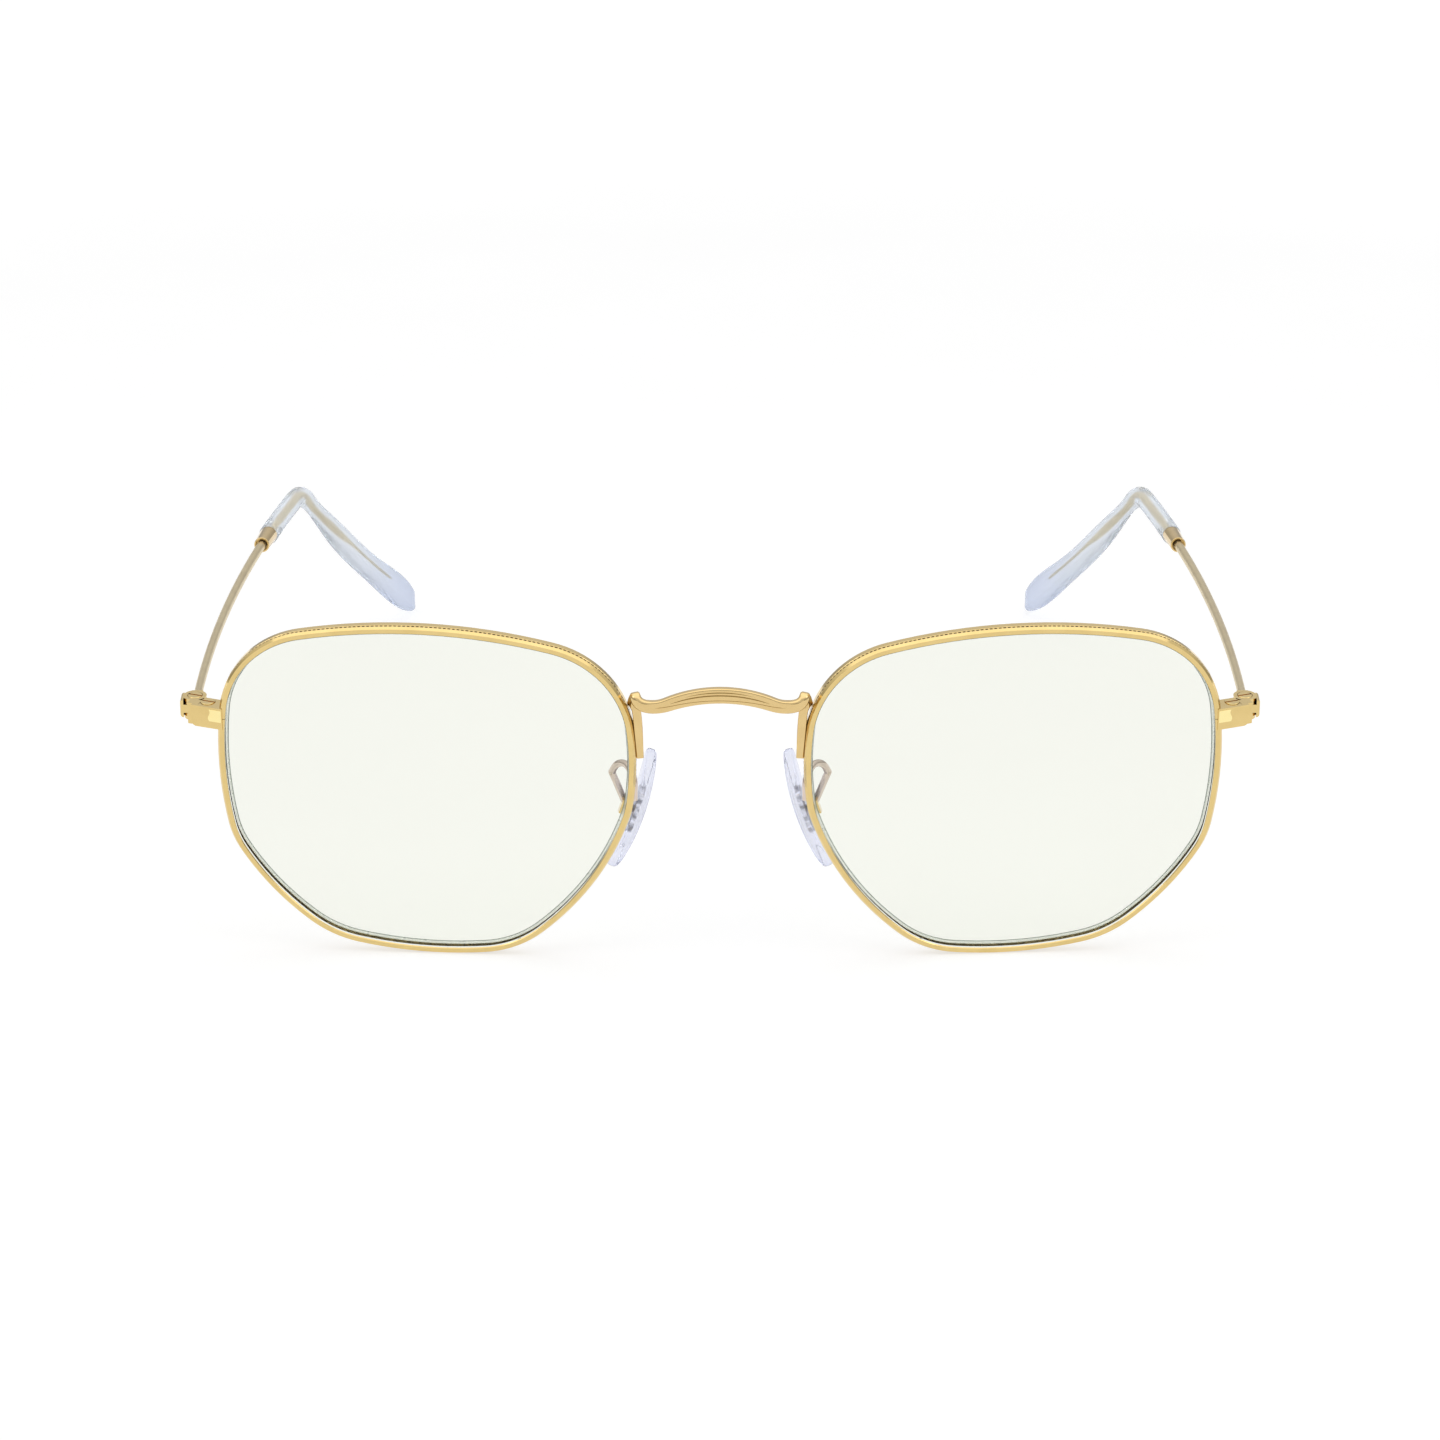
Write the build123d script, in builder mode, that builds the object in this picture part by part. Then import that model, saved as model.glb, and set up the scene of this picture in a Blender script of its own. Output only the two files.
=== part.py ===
"""Hexagonal wire-rimmed eyeglasses with a metal front, folding temples and rocking nose pads.

Millimetres. +Z is up, +Y runs back along the temples and +X is the wearer's left.
The glasses stand as on a table, on the bottom of both rims and on the ends of both temple tips.
Every piece but the bridge is modelled for the wearer's left and mirrored for the right.
On the front, x is sideways, height is measured up the leaning front and depth goes back from it.
"""

import os
from math import cos, degrees, radians, sin

from build123d import *

# The sizes an optician reads off the frame
lens_width = 51.0
lens_height = 44.0
lens_gap = 21.0
temple_length = 145.0

# How the front stands, in degrees: leaning forward at the top, and each lens turned back at its outer side
front_lean = 6.0
front_wrap = 4.0

# Clearances shared by the joints
running_gap = 0.04
knuckle_gap = 0.05

# Rim wire
rim_depth = 2.0
rim_thickness = 0.85
groove_depth = 0.6
groove_mouth = 1.1
groove_floor = 0.2
rim_bevel = 0.23
rim_bevel_depth = 0.35
rim_edge_break = 0.08
bead_channel_depth = 0.06
bead_channel_width = 0.42
bead_channel_inset = 0.44
seam_gap = 0.06

# Lens
lens_thickness = 1.9
lens_clearance = 0.05

# The opening's hexagon, from the top nose-side corner down the nose side and round, in shares of half its
# width and half its height. Bows and corner radii are shares of its full height.
corner_shares = [
    (-0.916, 0.80),
    (-0.98, -0.073),
    (-0.412, -0.968),
    (0.477, -0.916),
    (0.949, -0.309),
    (0.922, 0.861),
]
bow_shares = [0.027, 0.048, 0.028, 0.026, 0.037, 0.084]
corner_radius_shares = [0.281, 0.233, 0.282, 0.312, 0.247, 0.265]

# Bridge: a flat-faced arch whose ends rise, curl back and run down beside the rims as brazed legs
bridge_top_share = 0.3475
bridge_thickness = 2.0
bridge_fall = 1.78
bridge_end_fall = 1.37
bridge_turn_share = 0.84
bridge_under_turn_share = 0.73
bridge_depth = 0.95
bridge_face = 2.5
bridge_edge = 0.25
panel_depth = 0.08
panel_border = 0.42
curl_reach = 1.9
curl_rise = 0.93
curl_hump_out = 0.27
curl_hump_forward = 0.35
curl_out = 0.5
curl_drop = 1.1
curl_width = 1.2
leg_width = 0.96
leg_depth = 0.8
leg_behind = 0.95
leg_length = 5.0
leg_foot_drop = 9.9
leg_lean = 3.2

# Endpiece at the outer side of each rim
endpiece_height = 2.8
endpiece_mid_share = 0.2102
endpiece_turn = 20.0
plate_length = 4.15
plate_thickness = 0.4
plate_lap = 0.5
plate_proud = 0.16
plate_corner = 0.65
block_length = 3.3
block_back = 2.5
block_root = 0.3

# Screw that closes the rim lock
screw_radius = 0.5
screw_head_radius = 0.92
screw_head_height = 0.45
screw_head_proud = 0.12
screw_slot_width = 0.24
lock_screw_along = 2.5
lock_screw_back = 1.42
lock_screw_floor = 0.3

# Hinge: two knuckles on the front and one on the temple
hinge_along = 4.8
hinge_back = 2.68
knuckle_radius = 1.42
front_knuckle_height = 0.8
temple_knuckle_height = 1.1
spine_back = 1.6
spine_width = 0.9
butt_reach = 1.85
butt_width = 0.45
butt_height = 2.3
butt_front = 1.0
butt_back = 1.25
butt_round = 0.4
tang_width = 1.4
collar_start = 1.56
collar_end = 3.2
collar_radius = 0.75

# Temple: a bowed wire, a bend and a tail, with a sleeve and a clear tip on its rear half
temple_slope = 1.5
temple_splay = 1.7
temple_bow = 550.0
wire_start = 1.75
bend_start = 94.8
bend_radius = 10.0
bend_angle = 35.4
bend_lean = 10.0
tail_bow = 300.0
wire_radius = 0.525
wire_rear_radius = 0.62
core_radius = 0.35
ferrule_start = 71.2
ferrule_length = 5.0
ferrule_mouth_radius = 1.04
ferrule_rear_radius = 1.22
ferrule_bore = 0.8
ferrule_bore_depth = 1.6
ferrule_lip = 0.1
tip_radius = 1.23
tip_flat = 0.08
tip_end_round = 0.45

# Along the tail, as shares of its length: the tip's height, thickness and drop below the core, in tube
# diameters, and the core's height and thickness in core diameters
tip_sections = [
    (0.0, 1.0, 1.0, 0.0),
    (0.25, 1.3, 1.0, 0.1),
    (0.5, 1.6, 0.97, 0.25),
    (0.75, 1.85, 0.92, 0.27),
    (0.9, 1.95, 0.85, 0.27),
    (1.0, 1.25, 0.5, 0.27),
]
core_sections = [
    (0.0, 1.0, 1.0),
    (0.13, 1.15, 0.85),
    (0.28, 1.3, 0.75),
    (0.46, 0.85, 0.65),
    (0.63, 0.65, 0.55),
    (0.8, 0.5, 0.5),
]

# Nose pads: each is flared at its foot, tilted back at its top and turned to the face at its rear edge
pad_x = 10.95
pad_height = -5.6
pad_behind = 7.4
pad_flare = 21.0
pad_tilt = 15.0
pad_splay = 6.0
pad_length = 15.6
pad_width = 7.4
pad_thickness = 1.3
pad_curve = 40.0
pad_edge = 0.45
insert_length = 6.2
insert_width = 3.6
insert_thickness = 0.3
insert_inset = 0.4

# The stud on the insert rocks on a screw through the cheeks of a box on the arm's end
stud_thickness = 0.8
stud_radius = 0.42
rock_offset = 0.65
box_height = 1.7
box_mouth = 0.36
box_floor = 0.54
box_wall = 0.32
pad_screw_radius = 0.22
pad_screw_head_radius = 0.48
pad_screw_head_height = 0.3
pad_screw_slot_width = 0.12

# Pad arm: its wire's radius, and places on its loop as (outward, up, back) from its foot on the rim
arm_radius = 0.45
arm_foot_height = -1.0
arm_rise = 2.6
arm_loop = [(1.03, 3.79, 2.8), (2.13, 3.12, 4.0), (2.68, 1.89, 4.8), (2.25, -0.07, 5.7)]

half_width = lens_width / 2 - groove_depth
half_height = lens_height / 2 - groove_depth
lens_centre = (lens_width + lens_gap) / 2
bridge_top = bridge_top_share * lens_height
leg_foot_height = bridge_top - leg_foot_drop
endpiece_mid = endpiece_mid_share * lens_height
corners = [(across * half_width, up * half_height) for across, up in corner_shares]


def turned(plane, direction, angle):
    """A plane turned about a direction through its own origin."""
    axis = Axis((0, 0, 0), direction)
    return Plane(
        origin=plane.origin,
        x_dir=plane.x_dir.rotate(axis, angle),
        z_dir=plane.z_dir.rotate(axis, angle),
    )


# The leaning plane of the front, and the wrapped plane of the left rim's front face
front = turned(Plane.XZ, Vector(1, 0, 0), front_lean)
lens_place = Plane(origin=(lens_centre, 0, 0), x_dir=front.x_dir, z_dir=front.z_dir)
rim_face = turned(lens_place, front.y_dir, front_wrap)


def on_front(x, height, depth):
    """A point given by its place on the front."""
    return front.from_local_coords((x, height, -depth))


def opening(plane, grow=0):
    """The rim's opening, a hexagon with bowed sides and round corners, grown by a margin."""
    with BuildSketch(plane) as shape:
        with BuildLine():
            for start, end, share in zip(corners, corners[1:] + corners[:1], bow_shares):
                SagittaArc(start, end, -share * 2 * half_height)
        make_face()
        for corner, share in zip(corners, corner_radius_shares):
            fillet(shape.vertices().sort_by_distance(corner)[0], share * 2 * half_height)
        if grow:
            offset(amount=grow)
    return shape.sketch


def section_at(path, share, up):
    """The plane square to a path at a share of its length, its x along the given direction."""
    return Plane(origin=path.position_at(share), x_dir=up, z_dir=path.tangent_at(share))


# Rim: a grooved wire round the opening, sawn through where the lock closes it. Its section is drawn with
# x outward and y back from the face
opening_edge = opening(rim_face).faces()[0].outer_wire()
rim_section = section_at(opening_edge, 0, opening_edge.tangent_at(0).cross(rim_face.z_dir))
rim_outer = rim_thickness - rim_bevel
channel_end = bead_channel_inset + bead_channel_width
channel_floor = rim_thickness - bead_channel_depth
with BuildPart() as rim_ring:
    with BuildSketch(rim_section):
        with BuildLine():
            Polyline(
                (0, rim_edge_break),
                (rim_edge_break, 0),
                (rim_outer, 0),
                (rim_thickness, rim_bevel_depth),
                (rim_thickness, bead_channel_inset),
                (channel_floor, bead_channel_inset + bead_channel_depth),
                (channel_floor, channel_end - bead_channel_depth),
                (rim_thickness, channel_end),
                (rim_thickness, rim_depth - rim_bevel_depth),
                (rim_outer, rim_depth),
                (rim_edge_break, rim_depth),
                (0, rim_depth - rim_edge_break),
                (0, (rim_depth + groove_mouth) / 2),
                (groove_depth, (rim_depth + groove_floor) / 2),
                (groove_depth, (rim_depth - groove_floor) / 2),
                (0, (rim_depth - groove_mouth) / 2),
                close=True,
            )
        make_face()
    sweep(path=opening_edge)
    with BuildSketch(rim_face):
        with Locations((half_width, endpiece_mid)):
            Rectangle(4 * rim_thickness, seam_gap)
    extrude(amount=-rim_depth, mode=Mode.SUBTRACT)

# Lens: a flat plate that passes the rim's lips, with a bevel that sits in the groove
bevel_reach = groove_depth - lens_clearance
bevel_root = groove_mouth / 2 - lens_clearance
bevel_land = groove_floor / 2 - lens_clearance
with BuildPart() as lens:
    extrude(opening(rim_face.offset(-rim_depth / 2), -lens_clearance), amount=lens_thickness / 2, both=True)
    with BuildSketch(rim_section.shift_origin(rim_section.from_local_coords((0, rim_depth / 2, 0)))):
        with BuildLine():
            Polyline(
                (-groove_depth, -bevel_root),
                (-lens_clearance, -bevel_root),
                (bevel_reach, -bevel_land),
                (bevel_reach, bevel_land),
                (-lens_clearance, bevel_root),
                (-groove_depth, bevel_root),
                close=True,
            )
        make_face()
    sweep(path=opening_edge)

# The rim's outside as a plain solid, to trim whatever is brazed against it
with BuildPart() as rim_blank:
    extrude(opening(rim_face, rim_thickness), amount=-rim_depth)


def rim_side(height, outward):
    """Where the rim's outside stands at a height, on its nose side (-1) or its outer side (1)."""
    outline = opening(rim_face, rim_thickness).faces()[0]
    level = Edge.make_line(
        rim_face.from_local_coords((0, height, 0)),
        rim_face.from_local_coords((outward * lens_width, height, 0)),
    )
    crossing = outline.intersect(level)[0]
    return max(outward * rim_face.to_local_coords(end.center()).X for end in crossing.vertices()) * outward


# Bridge: the left half is built and mirrored. Its flat arch runs into a bar that rises, curls back and drops
foot_x = rim_side(leg_foot_height, -1) - leg_width / 2
foot = rim_face.from_local_coords((foot_x, leg_foot_height, -leg_behind))
leg_way = front.x_dir * sin(radians(leg_lean)) + front.y_dir * cos(radians(leg_lean))
leg_top = foot + leg_way * leg_length
dip_x = leg_top.X - curl_reach
bar_back = bridge_face - bridge_depth / 2
bar_height = bridge_thickness - (bridge_fall - bridge_end_fall)
dip_mid = bridge_top - bridge_fall - bar_height / 2
hump_mid = dip_mid + curl_rise
leg_front = -front.to_local_coords(leg_top).Z
hump_x = leg_top.X + curl_hump_out


def arch_edge(crown, fall, turn_share):
    """The top or bottom line of the half arch: down from the crown, then level into the dip."""
    turn = (turn_share * dip_x, crown - turn_share * fall)
    falling = TangentArc((0, crown), turn, tangent=(1, 0))
    TangentArc(turn, (dip_x, crown - fall), tangent=falling % 1)


with BuildLine() as bar_way:
    curl = Spline(
        on_front(dip_x, dip_mid, -bar_back),
        on_front(hump_x, hump_mid, leg_front - curl_hump_forward),
        on_front(leg_top.X + curl_out, hump_mid - curl_drop, leg_front),
        leg_top,
        tangents=[front.x_dir, -leg_way],
    )
    Line(curl @ 1, foot)

with BuildPart() as half_bridge:
    with BuildSketch(front.offset(bridge_face)):
        with BuildLine():
            arch_edge(bridge_top, bridge_fall, bridge_turn_share)
            Line((dip_x, bridge_top - bridge_fall), (dip_x, bridge_top - bridge_fall - bar_height))
            arch_edge(bridge_top - bridge_thickness, bridge_end_fall, bridge_under_turn_share)
            Line((0, bridge_top - bridge_thickness), (0, bridge_top))
        make_face()
    extrude(amount=-bridge_depth)
    middle_face = half_bridge.faces().sort_by(Axis.X)[0]
    end_face = half_bridge.faces().sort_by(Axis.X)[-1]
    fillet(half_bridge.edges() - middle_face.edges() - end_face.edges(), bridge_edge)
    hump = curl.param_at_point(on_front(hump_x, hump_mid, leg_front - curl_hump_forward))
    with BuildSketch(Plane(origin=curl @ 0, x_dir=front.y_dir, z_dir=curl % 0)):
        RectangleRounded(bar_height, bridge_depth, bridge_edge)
    with BuildSketch(Plane(origin=curl @ hump, x_dir=front.y_dir, z_dir=curl % hump)):
        RectangleRounded(curl_width, curl_width, bridge_edge)
    with BuildSketch(Plane(origin=foot, x_dir=front.x_dir, z_dir=-leg_way)):
        RectangleRounded(leg_width, leg_depth, bridge_edge)
    sweep(path=bar_way.wires()[0], multisection=True)
    add(rim_blank.part, mode=Mode.SUBTRACT)

# The engraved panel is sunk in the arch's face, inside a border that closes to a point near each end
panel_fall = bridge_fall - bridge_end_fall
with BuildPart() as bridge:
    add(half_bridge.part)
    mirror(about=Plane.YZ)
    with BuildSketch(front.offset(bridge_face)):
        with BuildLine():
            arch_edge(
                bridge_top - panel_border,
                bridge_fall - panel_border + bar_height / 2,
                bridge_turn_share,
            )
            arch_edge(
                bridge_top - bridge_thickness + panel_border,
                bridge_end_fall + panel_border - bar_height / 2,
                bridge_under_turn_share,
            )
            Line((0, bridge_top - bridge_thickness + panel_border), (0, bridge_top - panel_border))
        make_face()
        mirror(about=Plane.YZ)
    extrude(amount=-panel_depth, mode=Mode.SUBTRACT)

# Endpiece: its face plate laps over the rim's edge. On its planes x runs outward along it and y back
lap_x = rim_side(endpiece_mid, 1) - plate_lap
lap_point = rim_face.from_local_coords((lap_x, endpiece_mid, plate_proud))
endpiece = turned(Plane(origin=lap_point, x_dir=front.x_dir, z_dir=front.y_dir), front.y_dir, endpiece_turn)
endpiece_top = endpiece.offset(endpiece_height / 2)
endpiece_bottom = endpiece.offset(-endpiece_height / 2)
lock_height = (endpiece_height - seam_gap) / 2

# The hinge stack is flush with the endpiece's top. Its axis is square to the endpiece
stack_height = 2 * (front_knuckle_height + knuckle_gap) + temple_knuckle_height
hinge_top = endpiece_top.shift_origin(endpiece_top.from_local_coords((hinge_along, hinge_back, 0)))
hinge_bottom = hinge_top.offset(-stack_height)
hinge_mid = hinge_top.offset(-stack_height / 2)
temple_swing = temple_knuckle_height + 2 * knuckle_gap

with BuildPart() as endpiece_plate:
    with BuildSketch(endpiece_bottom):
        Rectangle(plate_length, plate_thickness, align=(Align.MIN, Align.MIN))
    extrude(amount=endpiece_height)
    outer = endpiece_plate.faces().sort_by(Axis(endpiece.origin, endpiece.x_dir))[-1]
    fillet(outer.edges().sort_by(Axis(endpiece.origin, endpiece.z_dir))[0], plate_corner)

with BuildPart() as rim:
    add(rim_ring.part)
    add(endpiece_plate.part, mode=Mode.SUBTRACT)


def lock_block(plane, height):
    """Half of the rim lock: a block brazed to the rim's outside, clear of the hinge barrel."""
    with BuildPart() as block:
        with BuildSketch(plane):
            with Locations((-block_root, plate_thickness)):
                Rectangle(
                    block_root + block_length,
                    block_back - plate_thickness,
                    align=(Align.MIN, Align.MIN),
                )
            with Locations((hinge_along, hinge_back)):
                Circle(knuckle_radius + 2 * knuckle_gap, mode=Mode.SUBTRACT)
        extrude(amount=height)
        extrude(opening(rim_face, rim_thickness), amount=-2 * rim_depth, mode=Mode.SUBTRACT)
    return block.part


with BuildPart() as lock_block_upper:
    add(lock_block(endpiece_top.offset(-lock_height), lock_height))
    with BuildSketch(endpiece_top):
        with Locations((lock_screw_along, lock_screw_back)):
            Circle(screw_head_radius + running_gap)
    extrude(amount=-(screw_head_height - screw_head_proud), mode=Mode.SUBTRACT)
    with BuildSketch(endpiece_top):
        with Locations((lock_screw_along, lock_screw_back)):
            Circle(screw_radius + running_gap)
    extrude(amount=-endpiece_height, mode=Mode.SUBTRACT)

with BuildPart() as lock_block_lower:
    add(lock_block(endpiece_bottom, lock_height))
    with BuildSketch(endpiece_bottom.offset(lock_screw_floor)):
        with Locations((lock_screw_along, lock_screw_back)):
            Circle(screw_radius)
    extrude(amount=endpiece_height, mode=Mode.SUBTRACT)


def slotted_screw(top, head_radius, head_height, radius, length, slot_width):
    """A slotted screw hanging from a plane through its head's top, its length measured from there."""
    with BuildPart() as screw:
        with BuildSketch(top):
            Circle(head_radius)
        extrude(amount=-head_height)
        fillet(screw.edges().group_by(Axis(top.origin, top.z_dir))[-1], head_height / 4)
        with BuildSketch(top):
            Circle(radius)
        extrude(amount=-length)
        with BuildSketch(top):
            Rectangle(2 * head_radius + head_height, slot_width)
        extrude(amount=-head_height / 2, mode=Mode.SUBTRACT)
    return screw.part


lock_screw_top = endpiece_top.offset(screw_head_proud)
lock_screw_top = lock_screw_top.shift_origin(
    lock_screw_top.from_local_coords((lock_screw_along, lock_screw_back, 0))
)
with BuildPart() as lock_screw:
    add(
        slotted_screw(
            lock_screw_top,
            screw_head_radius,
            screw_head_height,
            screw_radius,
            screw_head_proud + endpiece_height - lock_screw_floor,
            screw_slot_width,
        )
    )

# Front leaf of the hinge: a web behind the plate that carries the two knuckles
with BuildPart() as hinge_front_leaf:
    with BuildSketch(endpiece_bottom):
        with Locations((block_length + knuckle_gap, plate_thickness)):
            Rectangle(
                hinge_along - block_length - knuckle_gap,
                spine_back - plate_thickness,
                align=(Align.MIN, Align.MIN),
            )
    extrude(amount=endpiece_height)
    with BuildSketch(hinge_bottom):
        Circle(knuckle_radius)
        with Locations((0, plate_thickness - hinge_back)):
            Rectangle(spine_width, hinge_back - plate_thickness, align=(Align.MAX, Align.MIN))
    extrude(amount=stack_height)
    with BuildSketch(hinge_bottom.offset(front_knuckle_height)):
        Circle(knuckle_radius + 2 * knuckle_gap)
    extrude(amount=temple_swing, mode=Mode.SUBTRACT)
    with BuildSketch(hinge_bottom):
        Circle(screw_radius)
    extrude(amount=stack_height, mode=Mode.SUBTRACT)
    with BuildSketch(hinge_top):
        Circle(screw_head_radius + running_gap)
    extrude(amount=-(screw_head_height - knuckle_gap), mode=Mode.SUBTRACT)

with BuildPart() as hinge_screw:
    add(
        slotted_screw(
            hinge_top.offset(knuckle_gap),
            screw_head_radius,
            screw_head_height,
            screw_radius,
            stack_height + knuckle_gap,
            screw_slot_width,
        )
    )

# Temple: the wire's way from the hinge, as arcs in the temple's own sloping plane, then down and back
temple = turned(Plane(origin=hinge_mid.origin), Vector(1, 0, 0), -temple_slope)
splay = radians(temple_splay)
with BuildLine(temple) as shaft_way:
    shaft = JernArc(
        (wire_start * sin(splay), wire_start * cos(splay)),
        (sin(splay), cos(splay)),
        temple_bow,
        degrees((bend_start - wire_start) / temple_bow),
    )
upright = Plane(origin=shaft @ 1, x_dir=shaft % 1, z_dir=(shaft % 1).cross(temple.z_dir))
upright = turned(upright, shaft % 1, bend_lean)
with BuildLine(upright) as bend_way:
    bend = JernArc((0, 0), (1, 0), bend_radius, -bend_angle)
tail_length = temple_length - bend_start - radians(bend_angle) * bend_radius
tail_plane = Plane(origin=bend @ 1, x_dir=bend % 1, z_dir=(bend % 1).cross(upright.z_dir))
with BuildLine(tail_plane) as tail_way:
    tail = JernArc((0, 0), (1, 0), tail_bow, -degrees(tail_length / tail_bow))


def across(way, share, drop=0):
    """The plane square to a way at a share of its length, its x upward, dropped by a distance."""
    heading = way % share
    up = upright.z_dir.cross(heading)
    return Plane(origin=(way @ share) - up * drop, x_dir=up, z_dir=heading)


def along_shaft(distance):
    """The share of the shaft's way at a distance from the hinge."""
    return (distance - wire_start) / (bend_start - wire_start)


ferrule_front = across(shaft, along_shaft(ferrule_start))
ferrule_back = across(shaft, along_shaft(ferrule_start + ferrule_length))
open_way = shaft.trim(0, along_shaft(ferrule_start + ferrule_length))
covered_way = shaft.trim(along_shaft(ferrule_start + ferrule_length), 1)

with BuildPart() as temple_wire:
    with BuildSketch(across(open_way, 0)):
        Circle(wire_radius)
    with BuildSketch(across(open_way, 1)):
        Circle(wire_rear_radius)
    sweep(path=open_way, multisection=True)
    for way in (covered_way, bend):
        with BuildSketch(across(way, 0)):
            Circle(core_radius)
        sweep(path=way)
    for share, height, thickness in core_sections:
        with BuildSketch(across(tail, share)):
            Ellipse(height * core_radius, thickness * core_radius)
    loft()

with BuildPart() as ferrule:
    with BuildSketch(ferrule_front):
        Circle(ferrule_mouth_radius)
    with BuildSketch(ferrule_back):
        Circle(ferrule_rear_radius)
    loft()
    with BuildSketch(ferrule_front):
        Circle(ferrule_bore)
    extrude(amount=ferrule_bore_depth, mode=Mode.SUBTRACT)
    fillet(ferrule.edges().group_by(Axis(ferrule_front.origin, ferrule_front.z_dir))[0], ferrule_lip)
    add(temple_wire.part, mode=Mode.SUBTRACT)

with BuildPart() as temple_tip:
    for way, start in ((covered_way, ferrule_back), (bend, across(bend, 0))):
        with BuildSketch(start):
            SlotOverall(2 * tip_radius * (1 + tip_flat), 2 * tip_radius)
        sweep(path=way)
    for share, height, thickness, drop in tip_sections:
        with BuildSketch(across(tail, share, 2 * tip_radius * drop)):
            SlotOverall(2 * tip_radius * (height + tip_flat), 2 * tip_radius * thickness)
    loft()
    tip_end = temple_tip.faces().sort_by_distance(tail @ 1)[0]
    fillet(tip_end.edges(), tip_end_round)
    add(temple_wire.part, mode=Mode.SUBTRACT)

# Temple leaf of the hinge: a knuckle, a butt at its outer side and a collar that holds the wire
knuckle_foot = Plane(origin=hinge_mid.origin, x_dir=front.x_dir, z_dir=front.y_dir)
knuckle_foot = knuckle_foot.offset(-temple_knuckle_height / 2)
with BuildPart() as hinge_temple_leaf:
    with BuildSketch(knuckle_foot):
        Circle(knuckle_radius)
        with Locations((0, -butt_front)):
            Rectangle(butt_reach, butt_front + butt_back, align=(Align.MIN, Align.MIN))
        Rectangle(tang_width, collar_end, align=(Align.CENTER, Align.MIN))
    extrude(amount=temple_knuckle_height)
    with BuildSketch(knuckle_foot.offset((temple_knuckle_height - butt_height) / 2)):
        with Locations((butt_reach, -butt_front)):
            Rectangle(butt_width, butt_front + butt_back, align=(Align.MAX, Align.MIN))
    extrude(amount=butt_height)
    lobe = hinge_temple_leaf.faces().sort_by(Axis.X)[-1]
    fillet(lobe.edges(), butt_round)
    with BuildSketch(across(shaft, 0)):
        Circle(collar_radius)
    extrude(amount=collar_end - wire_start)
    with BuildSketch(across(shaft, 0)):
        Circle(collar_radius)
    extrude(amount=collar_start - wire_start)
    with BuildSketch(knuckle_foot):
        Circle(screw_radius + running_gap)
    extrude(amount=temple_knuckle_height, mode=Mode.SUBTRACT)
    add(temple_wire.part, mode=Mode.SUBTRACT)

# Nose pad, from the middle of its outer face. On pad_face x runs forward, y up and z to the nose; on the
# planes square to its rocking axis x runs outward and y up
pad_face = Plane(origin=on_front(pad_x, pad_height, pad_behind), x_dir=front.z_dir, z_dir=-front.x_dir)
pad_face = turned(pad_face, pad_face.z_dir, pad_tilt)
pad_face = turned(pad_face, pad_face.x_dir, pad_flare)
pad_face = turned(pad_face, front.y_dir, -pad_splay)
pad_side = Plane(origin=pad_face.origin, x_dir=-pad_face.z_dir, z_dir=pad_face.x_dir)
pivot = pad_side.shift_origin(pad_side.from_local_coords((rock_offset, 0, 0)))
stud_reach = rock_offset + insert_inset + insert_thickness / 2
box_inside = stud_thickness / 2 + running_gap

with BuildPart() as pad_insert:
    with BuildSketch(pad_face.offset(insert_inset)):
        SlotOverall(insert_length, insert_width, rotation=90)
    extrude(amount=insert_thickness)
    with BuildSketch(pivot):
        Circle(stud_radius)
        Rectangle(stud_reach, 2 * stud_radius, align=(Align.MAX, Align.CENTER))
    extrude(amount=stud_thickness / 2, both=True)
    with BuildSketch(pivot):
        Circle(pad_screw_radius + running_gap)
    extrude(amount=stud_thickness, both=True, mode=Mode.SUBTRACT)

with BuildPart() as nose_pad:
    with BuildSketch(pad_side):
        with Locations((pad_curve - pad_thickness, 0)):
            Circle(pad_curve)
            Circle(pad_curve - pad_thickness, mode=Mode.SUBTRACT)
        Rectangle(2 * pad_width, 2 * pad_length, mode=Mode.INTERSECT)
    extrude(amount=pad_width, both=True)
    with BuildSketch(pad_face.offset(-pad_width)):
        Ellipse(pad_width / 2, pad_length / 2)
    extrude(amount=2 * pad_width, mode=Mode.INTERSECT)
    fillet(nose_pad.edges(), pad_edge)
    add(pad_insert.part, mode=Mode.SUBTRACT)

with BuildPart() as pad_box:
    with BuildSketch(pivot):
        with Locations((-box_mouth, 0)):
            Rectangle(box_mouth + box_floor + box_wall, box_height, align=(Align.MIN, Align.CENTER))
    extrude(amount=box_inside + box_wall, both=True)
    with BuildSketch(pivot):
        with Locations((box_floor, 0)):
            Rectangle(box_floor + 2 * box_mouth, 2 * box_height, align=(Align.MAX, Align.CENTER))
    extrude(amount=box_inside, both=True, mode=Mode.SUBTRACT)
    with BuildSketch(pivot):
        Circle(pad_screw_radius)
    extrude(amount=box_inside + 2 * box_wall, both=True, mode=Mode.SUBTRACT)

with BuildPart() as pad_screw:
    add(
        slotted_screw(
            pivot.offset(box_inside + box_wall + pad_screw_head_height),
            pad_screw_head_radius,
            pad_screw_head_height,
            pad_screw_radius,
            2 * (box_inside + box_wall) + pad_screw_head_height,
            pad_screw_slot_width,
        )
    )

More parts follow.
